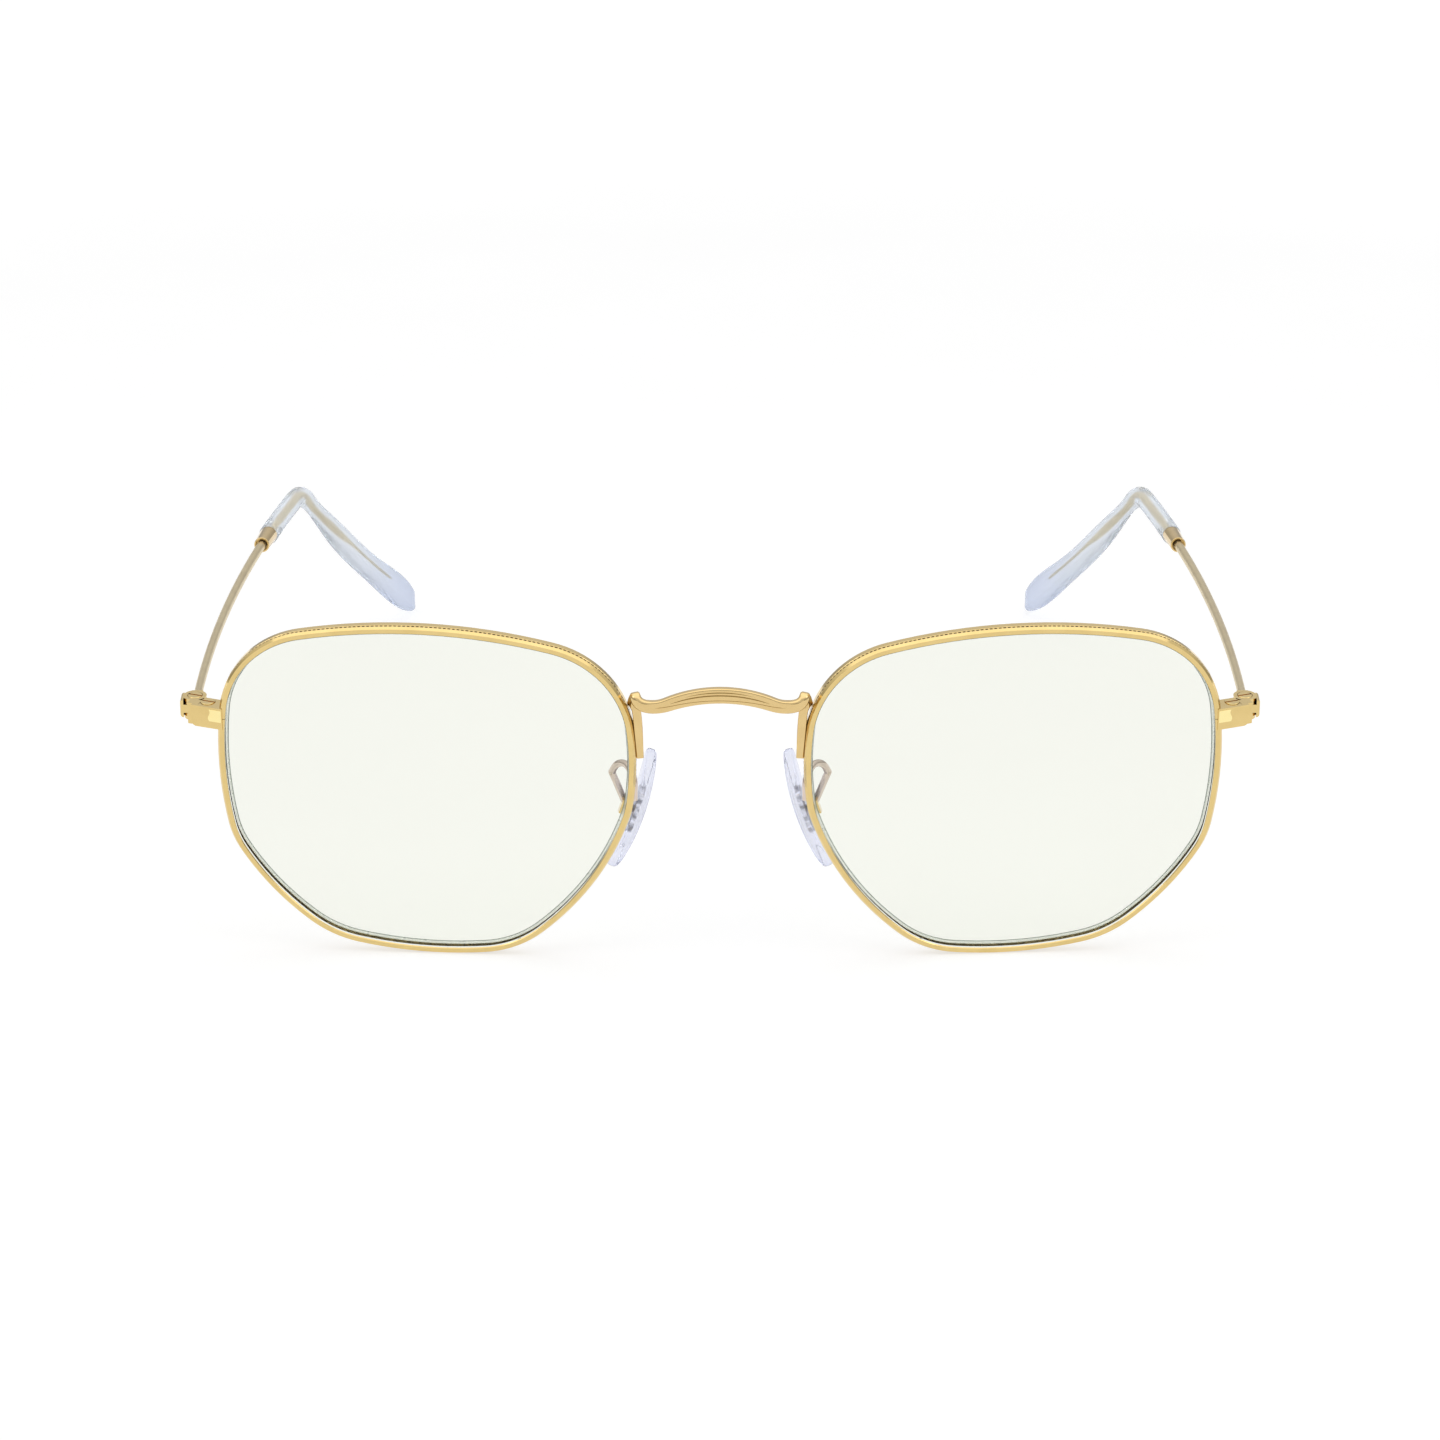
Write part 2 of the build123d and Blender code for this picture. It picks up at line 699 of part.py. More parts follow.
arm_foot = rim_face.from_local_coords((rim_side(arm_foot_height, -1), arm_foot_height, -rim_depth))
arm_end = pivot.from_local_coords((box_floor + box_wall / 2, box_height / 2, 0))
arm_turns = [
    arm_foot + front.x_dir * out + front.y_dir * up - front.z_dir * back for out, up, back in arm_loop
]
with BuildLine() as arm_way:
    loop = Spline(
        arm_foot,
        arm_foot + front.y_dir * arm_rise,
        *arm_turns,
        tangents=[front.y_dir, arm_end - arm_turns[-1]],
    )
    Line(loop @ 1, arm_end)
with BuildPart() as pad_arm:
    with BuildSketch(Plane(origin=loop @ 0, z_dir=loop % 0)):
        Circle(arm_radius)
    sweep(path=arm_way.wires()[0])
    add(rim_blank.part, mode=Mode.SUBTRACT)
    add(pad_box.part, mode=Mode.SUBTRACT)

# The pieces of one side, as they stand on the wearer's left
side_pieces = {
    "rim": rim,
    "lens": lens,
    "lock_block_upper": lock_block_upper,
    "lock_block_lower": lock_block_lower,
    "lock_screw": lock_screw,
    "endpiece_plate": endpiece_plate,
    "hinge_front_leaf": hinge_front_leaf,
    "hinge_temple_leaf": hinge_temple_leaf,
    "hinge_screw": hinge_screw,
    "temple_wire": temple_wire,
    "ferrule": ferrule,
    "temple_tip": temple_tip,
    "pad_arm": pad_arm,
    "pad_box": pad_box,
    "pad_screw": pad_screw,
    "pad_insert": pad_insert,
    "nose_pad": nose_pad,
}

# The frame's origin is under the middle of the whole, on the plane it stands on
boxes = [piece.part.bounding_box() for piece in [bridge, *side_pieces.values()]]
lowest = min(box.min.Z for box in boxes)
middle = (min(box.min.Y for box in boxes) + max(box.max.Y for box in boxes)) / 2
standing = Pos(0, -middle, -lowest)

os.makedirs("parts", exist_ok=True)
whole = standing * bridge.part
whole.label = "bridge"
export_step(whole, "parts/bridge.step")
for name, piece in side_pieces.items():
    left = standing * piece.part
    left.label = name + "_left"
    export_step(left, f"parts/{name}_left.step")
    right = left.mirror(Plane.YZ)
    right.label = name + "_right"
    export_step(right, f"parts/{name}_right.step")

print("hinge axis at", standing * Pos(hinge_mid.origin), "along", front.y_dir)
print("pad axis at", standing * Pos(pivot.origin), "along", pivot.z_dir)
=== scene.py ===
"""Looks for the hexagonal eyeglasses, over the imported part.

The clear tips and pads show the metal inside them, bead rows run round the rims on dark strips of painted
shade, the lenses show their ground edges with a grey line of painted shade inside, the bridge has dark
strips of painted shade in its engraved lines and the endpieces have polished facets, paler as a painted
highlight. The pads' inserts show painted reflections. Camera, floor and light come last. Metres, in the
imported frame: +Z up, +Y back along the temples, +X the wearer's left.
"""

from collections import namedtuple
from itertools import groupby
from math import cos, pi, radians, sin

import bmesh
import bpy
import numpy as np
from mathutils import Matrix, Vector
from mathutils.bvhtree import BVHTree


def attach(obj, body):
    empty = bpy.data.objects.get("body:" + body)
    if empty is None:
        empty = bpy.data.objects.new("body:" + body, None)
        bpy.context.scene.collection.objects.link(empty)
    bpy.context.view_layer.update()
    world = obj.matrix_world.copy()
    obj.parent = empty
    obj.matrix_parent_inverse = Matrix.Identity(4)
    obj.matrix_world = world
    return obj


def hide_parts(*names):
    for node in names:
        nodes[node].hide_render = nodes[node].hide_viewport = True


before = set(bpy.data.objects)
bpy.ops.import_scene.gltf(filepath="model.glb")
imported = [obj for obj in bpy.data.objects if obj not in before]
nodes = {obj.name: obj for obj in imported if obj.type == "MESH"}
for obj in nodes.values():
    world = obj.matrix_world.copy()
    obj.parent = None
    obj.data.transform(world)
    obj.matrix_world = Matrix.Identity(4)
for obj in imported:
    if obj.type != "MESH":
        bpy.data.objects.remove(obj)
bpy.context.view_layer.update()
scene = bpy.context.scene
scene.view_settings.view_transform = "Standard"

MM = 0.001
SIDES = ("left", "right")

# How the front stands: it leans forward at the top, the rims are turned back at their outer sides, and the
# endpieces are turned back further
FRONT_LEAN = radians(6)
RIM_TURN = radians(4)
ENDPIECE_TURN = radians(20)

# The middle of the left lens, on the rim's face
RIM_MIDDLE = (36 * MM, -67.538 * MM, 22.127 * MM)

# Edges sharper than this stay sharp
SHARP_ANGLE = radians(35)

# A mesh's points this near each other are one, and so are an outline's that round to the same place
SAME_POINT = 0.0005 * MM
SAME_DECIMALS = 6

# Points this near a flat face are on it
FLAT_WITHIN = 0.003 * MM


# Materials

# The range in which most of a noise's values lie
NOISE_LOW = 0.3
NOISE_HIGH = 0.7

# Metal: its polishing marks, which make its roughness vary, its grain, which is a bump, and its lacquer
POLISH_SCALE = 2600.0
POLISH_DETAIL = 4.0
GRAIN_SCALE = 9000.0
GRAIN_DETAIL = 3.0
GRAIN_DEPTH = 0.02 * MM
LACQUER_ROUGHNESS = 0.08

# Clear plastic and glass: how soon the tint deepens towards the edges, how fine the roughness varies, and a
# ripple, which is a bump
EDGE_TINT = 0.35
CLOUD_SCALE = 600.0
RIPPLE_SCALE = 260.0
RIPPLE_STRENGTH = 0.03
RIPPLE_DEPTH = 0.05 * MM

# Where along the temples the tips turn to their deeper colour
DEEPER_FROM = 52 * MM
DEEPER_TO = 70 * MM


class Tree:
    """The node tree of a material or a world, built one node at a time. Colours are red, green and blue."""

    def __init__(self, owner):
        self.owner = owner
        self.owner.use_nodes = True
        self.nodes = owner.node_tree.nodes
        self.links = owner.node_tree.links
        self.coordinates = self.add("ShaderNodeTexCoord").outputs
        self.place = self.coordinates["Object"]

    def add(self, kind, inputs=None, **settings):
        node = self.nodes.new(kind)
        for key, value in settings.items():
            setattr(node, key, value)
        for key, value in (inputs or {}).items():
            self.feed(node.inputs[key], value)
        return node

    def feed(self, socket, value):
        if isinstance(value, bpy.types.NodeSocket):
            self.links.new(value, socket)
        elif socket.type == "RGBA":
            socket.default_value = (*value, 1)
        else:
            socket.default_value = value

    def noise(self, scale, detail=2.0):
        inputs = {"Vector": self.place, "Scale": scale, "Detail": detail}
        return self.add("ShaderNodeTexNoise", inputs).outputs["Fac"]

    def spread(self, value, low, high, start=NOISE_LOW, end=NOISE_HIGH):
        """Turns a value's range, from start to end, into the range from low to high."""
        inputs = {"Value": value, "From Min": start, "From Max": end, "To Min": low, "To Max": high}
        return self.add("ShaderNodeMapRange", inputs).outputs["Result"]

    def mix(self, share, first, second, **settings):
        node = self.add("ShaderNodeMix", **settings)
        self.feed(node.inputs["Factor"], share)
        self.feed(node.inputs["A"], first)
        self.feed(node.inputs["B"], second)
        return node.outputs["Result"]

    def blend(self, share, first, second):
        """Mixes two colours."""
        return self.mix(share, first, second, data_type="RGBA")

    def math(self, operation, first, second):
        return self.add("ShaderNodeMath", {0: first, 1: second}, operation=operation).outputs[0]

    def bump(self, height, strength, distance):
        inputs = {"Height": height, "Strength": strength, "Distance": distance}
        return self.add("ShaderNodeBump", inputs).outputs["Normal"]

    def rays(self, *kinds):
        """1 for a ray of any of these kinds and 0 for another."""
        path = self.add("ShaderNodeLightPath").outputs
        share = path[f"Is {kinds[0]} Ray"]
        for kind in kinds[1:]:
            share = self.math("MAXIMUM", share, path[f"Is {kind} Ray"])
        return share

    def set(self, **values):
        """Sets the main shader's inputs."""
        for key, value in values.items():
            self.feed(self.nodes["Principled BSDF"].inputs[key.replace("_", " ")], value)

    def show(self, shader):
        """Makes a shader node the material's surface."""
        self.feed(self.nodes["Material Output"].inputs["Surface"], shader.outputs[0])

    def let_light_through(self, colour):
        """Shadow rays pass a clear piece, so that it shades what is behind it as little as the real one."""
        main = self.nodes["Principled BSDF"].outputs["BSDF"]
        passing = self.add("ShaderNodeBsdfTransparent", {"Color": colour}).outputs["BSDF"]
        self.show(self.add("ShaderNodeMixShader", {0: self.rays("Shadow"), 1: main, 2: passing}))


def metal(name, bright, deep, smooth, rough, grain=0.02, coat=0.0, drift=420.0):
    """Plated metal: its colour drifts a little, and polishing shows in its roughness and its surface."""
    tree = Tree(bpy.data.materials.new(name))
    tree.set(
        Base_Color=tree.blend(tree.spread(tree.noise(drift), 0.0, 1.0), deep, bright),
        Metallic=1.0,
        Roughness=tree.spread(tree.noise(POLISH_SCALE, POLISH_DETAIL), smooth, rough),
        Normal=tree.bump(tree.noise(GRAIN_SCALE, GRAIN_DETAIL), grain, GRAIN_DEPTH),
        Coat_Weight=coat,
        Coat_Roughness=LACQUER_ROUGHNESS,
    )
    return tree.owner


def clear(name, colour, edge_colour, index, smooth, rough, shade, clearness=1.0, deeper=None):
    """Clear material with a tint that deepens towards its edges and a faint ripple in its surface.

    What it lacks in clearness is milky. It can turn to a deeper colour towards the back, where a tip is
    thickest.
    """
    tree = Tree(bpy.data.materials.new(name))
    facing = tree.add("ShaderNodeLayerWeight", {"Blend": EDGE_TINT}).outputs["Facing"]
    if deeper:
        back = tree.add("ShaderNodeSeparateXYZ", {"Vector": tree.place}).outputs["Y"]
        colour = tree.blend(tree.spread(back, 0.0, 1.0, DEEPER_FROM, DEEPER_TO), colour, deeper)
    tree.set(
        Base_Color=tree.blend(facing, colour, edge_colour),
        Transmission_Weight=clearness,
        IOR=index,
        Roughness=tree.spread(tree.noise(CLOUD_SCALE), smooth, rough),
        Normal=tree.bump(tree.noise(RIPPLE_SCALE), RIPPLE_STRENGTH, RIPPLE_DEPTH),
    )
    tree.let_light_through(shade)
    return tree.owner


gold = metal(
    "gold", bright=(0.77, 0.575, 0.235), deep=(0.72, 0.53, 0.205), smooth=0.10, rough=0.17, coat=0.6
)
# A little darker and rougher than the rims' gold, for the bridge and the ferrules; the darker colour is
# painted shade
bridge_gold_painted_shade = metal(
    "bridge_gold_painted_shade",
    bright=(0.76, 0.555, 0.25),
    deep=(0.71, 0.51, 0.22),
    smooth=0.12,
    rough=0.20,
    grain=0.008,
    coat=0.6,
)
# Nearly black gold, painted shade in the rims' channels under the beads
painted_channel_shade = metal("painted_channel_shade", bright=(0.10, 0.06, 0.02), deep=(0.08, 0.045, 0.015), smooth=0.55, rough=0.7)
# Dark gold, painted shade in the bridge's engraved lines
painted_groove_shade = metal("painted_groove_shade", bright=(0.36, 0.22, 0.07), deep=(0.30, 0.18, 0.05), smooth=0.40, rough=0.5)
# Paler, smoother gold for the endpiece facets: the polish is real, the paler colour a painted highlight
pale_gold = metal(
    "pale_gold", bright=(0.98, 0.84, 0.40), deep=(0.96, 0.80, 0.36), smooth=0.05, rough=0.09, coat=0.6
)
satin_gold = metal("satin_gold", bright=(0.80, 0.68, 0.44), deep=(0.74, 0.62, 0.40), smooth=0.30, rough=0.40)
rosy_gold = metal(
    "rosy_gold", bright=(0.72, 0.61, 0.54), deep=(0.66, 0.55, 0.48), smooth=0.18, rough=0.26, coat=0.4
)
# The pads' metal inserts: a colour that drifts between near white and near black, painted reflections on
# polished metal
silver = metal(
    "silver",
    bright=(0.92, 0.92, 0.94),
    deep=(0.10, 0.10, 0.12),
    smooth=0.06,
    rough=0.12,
    grain=0.3,
    drift=1400.0,
)
lens_glass = clear(
    "lens_glass",
    colour=(0.909, 0.916, 0.85),
    edge_colour=(0.78, 0.86, 0.82),
    index=1.3,
    smooth=0.0,
    rough=0.004,
    shade=(0.97, 0.97, 0.94),
)
ground_glass = clear(
    "ground_glass",
    colour=(0.95, 0.98, 0.95),
    edge_colour=(0.90, 0.95, 0.91),
    index=1.1,
    smooth=0.25,
    rough=0.35,
    shade=(0.92, 0.95, 0.92),
    clearness=0.6,
)
# Green-grey for the line inside each lens's edge: painted shade of the bevel seen through the lens
edge_painted_shade = clear(
    "edge_painted_shade",
    colour=(0.36, 0.43, 0.40),
    edge_colour=(0.30, 0.37, 0.34),
    index=1.1,
    smooth=0.25,
    rough=0.35,
    shade=(0.6, 0.65, 0.62),
    clearness=0.4,
)
tip_plastic = clear(
    "tip_plastic",
    colour=(0.93, 0.96, 1.0),
    edge_colour=(0.80, 0.86, 0.95),
    index=1.08,
    smooth=0.18,
    rough=0.26,
    shade=(0.92, 0.94, 0.97),
    clearness=0.70,
    deeper=(0.66, 0.71, 0.87),
)
pad_plastic = clear(
    "pad_plastic",
    colour=(0.90, 0.915, 1.0),
    edge_colour=(0.75, 0.78, 0.96),
    index=1.08,
    smooth=0.04,
    rough=0.08,
    shade=(0.92, 0.93, 0.98),
    clearness=0.82,
)

# Each finish, and how the names of the nodes that have it start
FINISHES = (
    (gold, ("rim", "endpiece", "lock", "hinge", "pad_box", "pad_screw")),
    (bridge_gold_painted_shade, ("bridge", "ferrule")),
    (satin_gold, ("temple_wire",)),
    (rosy_gold, ("pad_arm",)),
    (silver, ("pad_insert",)),
    (lens_glass, ("lens",)),
    (tip_plastic, ("temple_tip",)),
    (pad_plastic, ("nose_pad",)),
)
for finish, starts in FINISHES:
    for name, node in nodes.items():
        if name.startswith(starts):
            node.material_slots[0].material = finish


# Shapes


def points_of(name):
    """The places of the points of a node's mesh."""
    return np.array([v.co for v in nodes[name].data.vertices])


def surface_of(name):
    """A node's surface, to find the nearest point on it or cast rays at it."""
    shape = bmesh.new()
    shape.from_mesh(nodes[name].data)
    surface = BVHTree.FromBMesh(shape)
    shape.free()
    return surface


def mirrored(place, side):
    """A place or a direction on the left, or its mirror image on the right."""
    x, y, z = place
    return np.array((x if side == "left" else -x, y, z))


class Face:
    """A plane of the leaning front, turned back at its outer side. Its places go across, up and forward."""

    def __init__(self, side, turn, middle=(0.0, 0.0, 0.0)):
        across = (cos(turn), sin(turn) * cos(FRONT_LEAN), sin(turn) * sin(FRONT_LEAN))
        up = (0.0, -sin(FRONT_LEAN), cos(FRONT_LEAN))
        forward = (sin(turn), -cos(turn) * cos(FRONT_LEAN), -cos(turn) * sin(FRONT_LEAN))
        self.axes = np.array([mirrored(way, side) for way in (across, up, forward)])
        self.up, self.forward = self.axes[1:]
        self.middle = mirrored(middle, side)

    def way(self, across, up, forward):
        return np.array((across, up, forward)) @ self.axes

    def place(self, across, up, forward):
        return self.middle + self.way(across, up, forward)

    def local(self, places):
        return (np.array(places) - self.middle) @ self.axes.T


rim_faces = {side: Face(side, RIM_TURN, RIM_MIDDLE) for side in SIDES}


def walk_round(points, pitch):
    """Places an even pitch apart round the outline that points make about a middle, each with the way on."""
    points = np.unique(np.round(points, SAME_DECIMALS), axis=0)
    points = points[np.argsort(np.arctan2(points[:, 1], points[:, 0]))]
    closed = np.vstack([points, points[:1]])
    walked = np.concatenate([[0.0], np.cumsum(np.linalg.norm(np.diff(closed, axis=0), axis=1))])
    count = round(walked[-1] / pitch)
    stops = np.arange(count) * walked[-1] / count
    places = np.column_stack([np.interp(stops, walked, closed[:, k]) for k in (0, 1)])
    ways = np.roll(places, -1, axis=0) - np.roll(places, 1, axis=0)
    return zip(places, ways / np.linalg.norm(ways, axis=1)[:, None])


def ribbon(spots, rise, sink, closed=False):
    """Corners and faces of a thin strip through spots, each given as a place, a half width and a normal.

    It is capped at both ends, or closed into a ring.
    """
    section = ((-1, -sink), (1, -sink), (1, rise), (-1, rise))
    sides = len(section)
    corners = []
    for place, half, normal in spots:
        corners += [place + half * side + normal * height for side, height in section]
    count = len(corners)
    last = count - sides
    faces = []
    for first in range(0, count if closed else last, sides):
        following = (first + sides) % count
        for k in range(sides):
            beside = (k + 1) % sides
            faces.append((first + k, first + beside, following + beside, following + k))
    if not closed:
        faces += [tuple(range(sides)), tuple(range(last, count))]
    return corners, faces


def shape_of(*parts):
    """A shape from parts, each given as its corners and its faces."""
    shape = bmesh.new()
    for corners, faces in parts:
        verts = [shape.verts.new(corner) for corner in corners]
        for face in faces:
            shape.faces.new([verts[k] for k in face])
    return shape


def new_piece(name, shape, body, finish):
    """A closed shape as a piece of the object, riding on a body and smooth between its sharp edges."""
    bmesh.ops.recalc_face_normals(shape, faces=shape.faces)
    for face in shape.faces:
        face.smooth = True
    mesh = bpy.data.meshes.new(name)
    shape.to_mesh(mesh)
    shape.free()
    mesh.set_sharp_from_angle(angle=SHARP_ANGLE)
    mesh.materials.append(finish)
    piece = bpy.data.objects.new(name, mesh)
    scene.collection.objects.link(piece)
    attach(piece, body)
    return piece


# Clear tips and pads: closed skins, so that the metal inside shows through them

BORE_WITHIN = 0.02 * MM


def without_bore(node, core):
    """The outside of a clear node, closed over the bore that its metal core lies in."""
    skin = bmesh.new()
    skin.from_mesh(nodes[node].data)
    bmesh.ops.remove_doubles(skin, verts=skin.verts, dist=SAME_POINT)
    core_surface = surface_of(core)
    near = {v for v in skin.verts if core_surface.find_nearest(v.co)[3] < BORE_WITHIN}
    bore = [face for face in skin.faces if all(v in near for v in face.verts)]
    bmesh.ops.delete(skin, geom=bore, context="FACES")
    bmesh.ops.holes_fill(skin, edges=[edge for edge in skin.edges if edge.is_boundary], sides=0)
    return skin


for side in SIDES:
    tip_skin = without_bore(f"temple_tip_{side}", f"temple_wire_{side}")
    tip = new_piece(f"clear_tip_{side}", tip_skin, f"temple_{side}", tip_plastic)
    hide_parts(f"temple_tip_{side}")
    pad_skin = without_bore(f"nose_pad_{side}", f"pad_insert_{side}")
    pad = new_piece(f"clear_pad_{side}", pad_skin, f"pad_{side}", pad_plastic)
    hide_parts(f"nose_pad_{side}")


# Bead rows: oval beads along the channel in each rim's outside, on dark strips that are painted shade in the
# channel

# How far the front edge of the channel's floor, and its middle, lie behind the rim's face
CHANNEL_FRONT = 0.5 * MM
CHANNEL_MIDDLE = 0.65 * MM

BEAD_PITCH = 0.55 * MM
BEAD_HALF_LENGTH = 0.16 * MM
BEAD_HALF_WIDTH = 0.15 * MM
BEAD_HEIGHT = 0.055 * MM
BEAD_SIDES = 10
# The dark strip under the beads, which is painted shade in the channel: its half width, its height and how
# far it sinks
SHADE_STRIP_HALF_WIDTH = 0.17 * MM
SHADE_STRIP_HEIGHT = 0.016 * MM
SHADE_STRIP_SINK = 0.03 * MM

# A bead's rings from the bottom up: their sizes in shares of the bead's, and their heights
BEAD_RINGS = ((1.0, -SHADE_STRIP_SINK), (1.0, 0.0), (0.72, 0.7 * BEAD_HEIGHT), (0.3, BEAD_HEIGHT))

# The pieces besides the bridge that cover a channel, and how far from them a bead stays
COVERING = ("endpiece_plate", "lock_block_upper", "lock_block_lower", "pad_arm")
BEAD_CLEARANCE = 0.2 * MM

Station = namedtuple("Station", "place along outward forward bare")


def rim_stations(side):
    """Stations a bead's pitch apart along a rim's channel, bare where no other piece covers it.

    Each has the directions along the channel, out of it and forward.
    """
    face = rim_faces[side]
    points = face.local(points_of(f"rim_{side}"))
    on_floor = np.abs(points[:, 2] + CHANNEL_FRONT) < FLAT_WITHIN
    covers = [surface_of(name) for name in ("bridge", *(f"{start}_{side}" for start in COVERING))]
    stations = []
    for (across, up), (way_across, way_up) in walk_round(points[on_floor, :2], BEAD_PITCH):
        place = face.place(across, up, -CHANNEL_MIDDLE)
        along = face.way(way_across, way_up, 0)
        outward = face.way(way_up, -way_across, 0)
        bare = all(cover.find_nearest(Vector(place))[3] > BEAD_CLEARANCE for cover in covers)
        stations.append(Station(place, along, outward, face.forward, bare))
    return stations


def bead(station):
    """Corners and faces of a low oval bead, sunk a little into the channel's floor."""
    corners = []
    for share, height in BEAD_RINGS:
        for k in range(BEAD_SIDES):
            angle = 2 * pi * k / BEAD_SIDES
            length = station.along * BEAD_HALF_LENGTH * cos(angle)
            width = station.forward * BEAD_HALF_WIDTH * sin(angle)
            corners.append(station.place + (length + width) * share + station.outward * height)
    top = len(corners) - BEAD_SIDES
    faces = [tuple(range(BEAD_SIDES)), tuple(range(top, top + BEAD_SIDES))]
    for low in range(0, top, BEAD_SIDES):
        for k in range(BEAD_SIDES):
            following = low + (k + 1) % BEAD_SIDES
            faces.append((low + k, following, following + BEAD_SIDES, low + k + BEAD_SIDES))
    return corners, faces


def shade_strip(run):
    """Corners and faces of the dark strip under a run of beads, which is painted shade in the channel."""
    spots = [(station.place, station.forward * SHADE_STRIP_HALF_WIDTH, station.outward) for station in run]
    return ribbon(spots, SHADE_STRIP_HEIGHT, SHADE_STRIP_SINK)


def bare_runs(stations):
    """The runs of bare stations between the covered ones."""
    first = next(k for k, station in enumerate(stations) if not station.bare)
    turned = stations[first:] + stations[:first]
    return [list(run) for bare, run in groupby(turned, key=lambda station: station.bare) if bare]


for side in SIDES:
    stations = rim_stations(side)
    row = shape_of(*(bead(station) for station in stations if station.bare))
    new_piece(f"bead_row_{side}", row, "front", gold)
    # Dark strips under the runs of beads, painted shade in the channel
    shade_strips = shape_of(*(shade_strip(run) for run in bare_runs(stations) if len(run) > 1))
    new_piece(f"bead_channel_shade_{side}", shade_strips, "front", painted_channel_shade)


# Lens edges: a pale ground band and a grey line inside it, round the back of each lens. The grey line is
# painted shade of the bevel seen through the lens

EDGE_PITCH = 0.5 * MM
EDGE_HALF_DEPTH = 0.012 * MM

# Insets from the lens's edge: where the band starts, where it meets the line, and where the line ends
EDGE_OUTER = 0.02 * MM
EDGE_MIDDLE = 0.17 * MM
EDGE_INNER = 0.25 * MM


def edge_ring(side, outer, inner):
    """Corners and faces of a thin ring on the back of a lens, between two insets."""
    face = rim_faces[side]
    points = face.local(points_of(f"lens_{side}"))
    back = points[:, 2].min()
    on_back = points[:, 2] - back < FLAT_WITHIN
    spots = []
    for (across, up), (way_across, way_up) in walk_round(points[on_back, :2], EDGE_PITCH):
        inward = face.way(-way_up, way_across, 0)
        middle = face.place(across, up, back) + inward * (outer + inner) / 2
        spots.append((middle, inward * (inner - outer) / 2, face.forward))
    return ribbon(spots, EDGE_HALF_DEPTH, EDGE_HALF_DEPTH, closed=True)


for side in SIDES:
    band = shape_of(edge_ring(side, EDGE_OUTER, EDGE_MIDDLE))
    new_piece(f"lens_edge_{side}", band, "front", ground_glass)
    # The grey line, painted shade of the bevel
    line = shape_of(edge_ring(side, EDGE_MIDDLE, EDGE_INNER))
    new_piece(f"lens_edge_line_{side}", line, "front", edge_painted_shade)


# Dark strips along the bridge's flat face, painted shade in its engraved lines. The face is found by rays
# from in front

# The heights tried, up the front from the level of the rims' middles, how far in front a ray starts, and how
# squarely it has to meet the face
BRIDGE_LOW = 9 * MM
BRIDGE_HIGH = 16 * MM
BRIDGE_STEPS = 141
RAY_START = 10 * MM
SQUARELY = 0.97

# How far to either side the face is looked for, and the degree of the curves fitted to its edges
FACE_REACH = 7 * MM
FACE_DEGREE = 6

# A line narrows towards its ends, to a least share of its width. It stands this much out of the face and this
# much into it
LINE_STEPS = 61
LINE_TAPER_POWER = 6
LINE_TAPER_LEAST = 0.2
LINE_RISE = 0.012 * MM
LINE_SINK = 0.03 * MM

# Each line's name, its share of the way down the face, its reach to either side and half its width
GROOVE_SHADES = (
    ("bridge_groove_shade_upper", 0.2, 6.6 * MM, 0.06 * MM),
    ("bridge_groove_shade_middle", 0.44, 6.0 * MM, 0.08 * MM),
)

bridge_front = Face("left", 0.0, (0.0, *RIM_MIDDLE[1:]))
bridge_surface = surface_of("bridge")


def bridge_face(x):
    """The lowest and highest heights of the bridge's flat face at x, and how far back it lies."""
    backward = Vector(-bridge_front.forward)
    hits = []
    for height in np.linspace(BRIDGE_LOW, BRIDGE_HIGH, BRIDGE_STEPS):
        start = Vector(bridge_front.place(x, height, RAY_START))
        place, normal = bridge_surface.ray_cast(start, backward, 2 * RAY_START)[:2]
        if place is not None and normal.dot(backward) < -SQUARELY:
            hits.append((height, -bridge_front.local(place)[2]))
    return hits[0][0], hits[-1][0], hits[len(hits) // 2][1]


face_stops = np.linspace(-FACE_REACH, FACE_REACH, LINE_STEPS)
face_rows = np.array([bridge_face(x) for x in face_stops])
low_edge, high_edge = (
    np.polynomial.Polynomial.fit(face_stops, face_rows[:, k], FACE_DEGREE) for k in (0, 1)
)
face_back = face_rows[:, 2].max()
# Each dark strip is painted shade in an engraved line
for name, share, reach, half in GROOVE_SHADES:
    spots = []
    for x in np.linspace(-reach, reach, LINE_STEPS):
        height = high_edge(x) - share * (high_edge(x) - low_edge(x))
        taper = max(1 - (x / reach) ** LINE_TAPER_POWER, LINE_TAPER_LEAST)
        place = bridge_front.place(x, height, -face_back)
        spots.append((place, bridge_front.up * half * taper, bridge_front.forward))
    new_piece(name, shape_of(ribbon(spots, LINE_RISE, LINE_SINK)), "front", painted_groove_shade)


# Endpiece facets: polished, with an S-shaped outer edge, and in a paler gold that is a painted highlight

# Places out along the plate's face from its inner end, and up from its middle
FACET_INNER = 0.12 * MM
FACET_OUTER = 1.75 * MM
FACET_TOP = 1.15 * MM
FACET_BOTTOM = -0.45 * MM

# How far the outer edge swings, and how far a facet stands out of the plate and into it
FACET_WAVE = 0.13 * MM
FACET_STEPS = 17
FACET_RISE = 0.03 * MM
FACET_SINK = 0.02 * MM


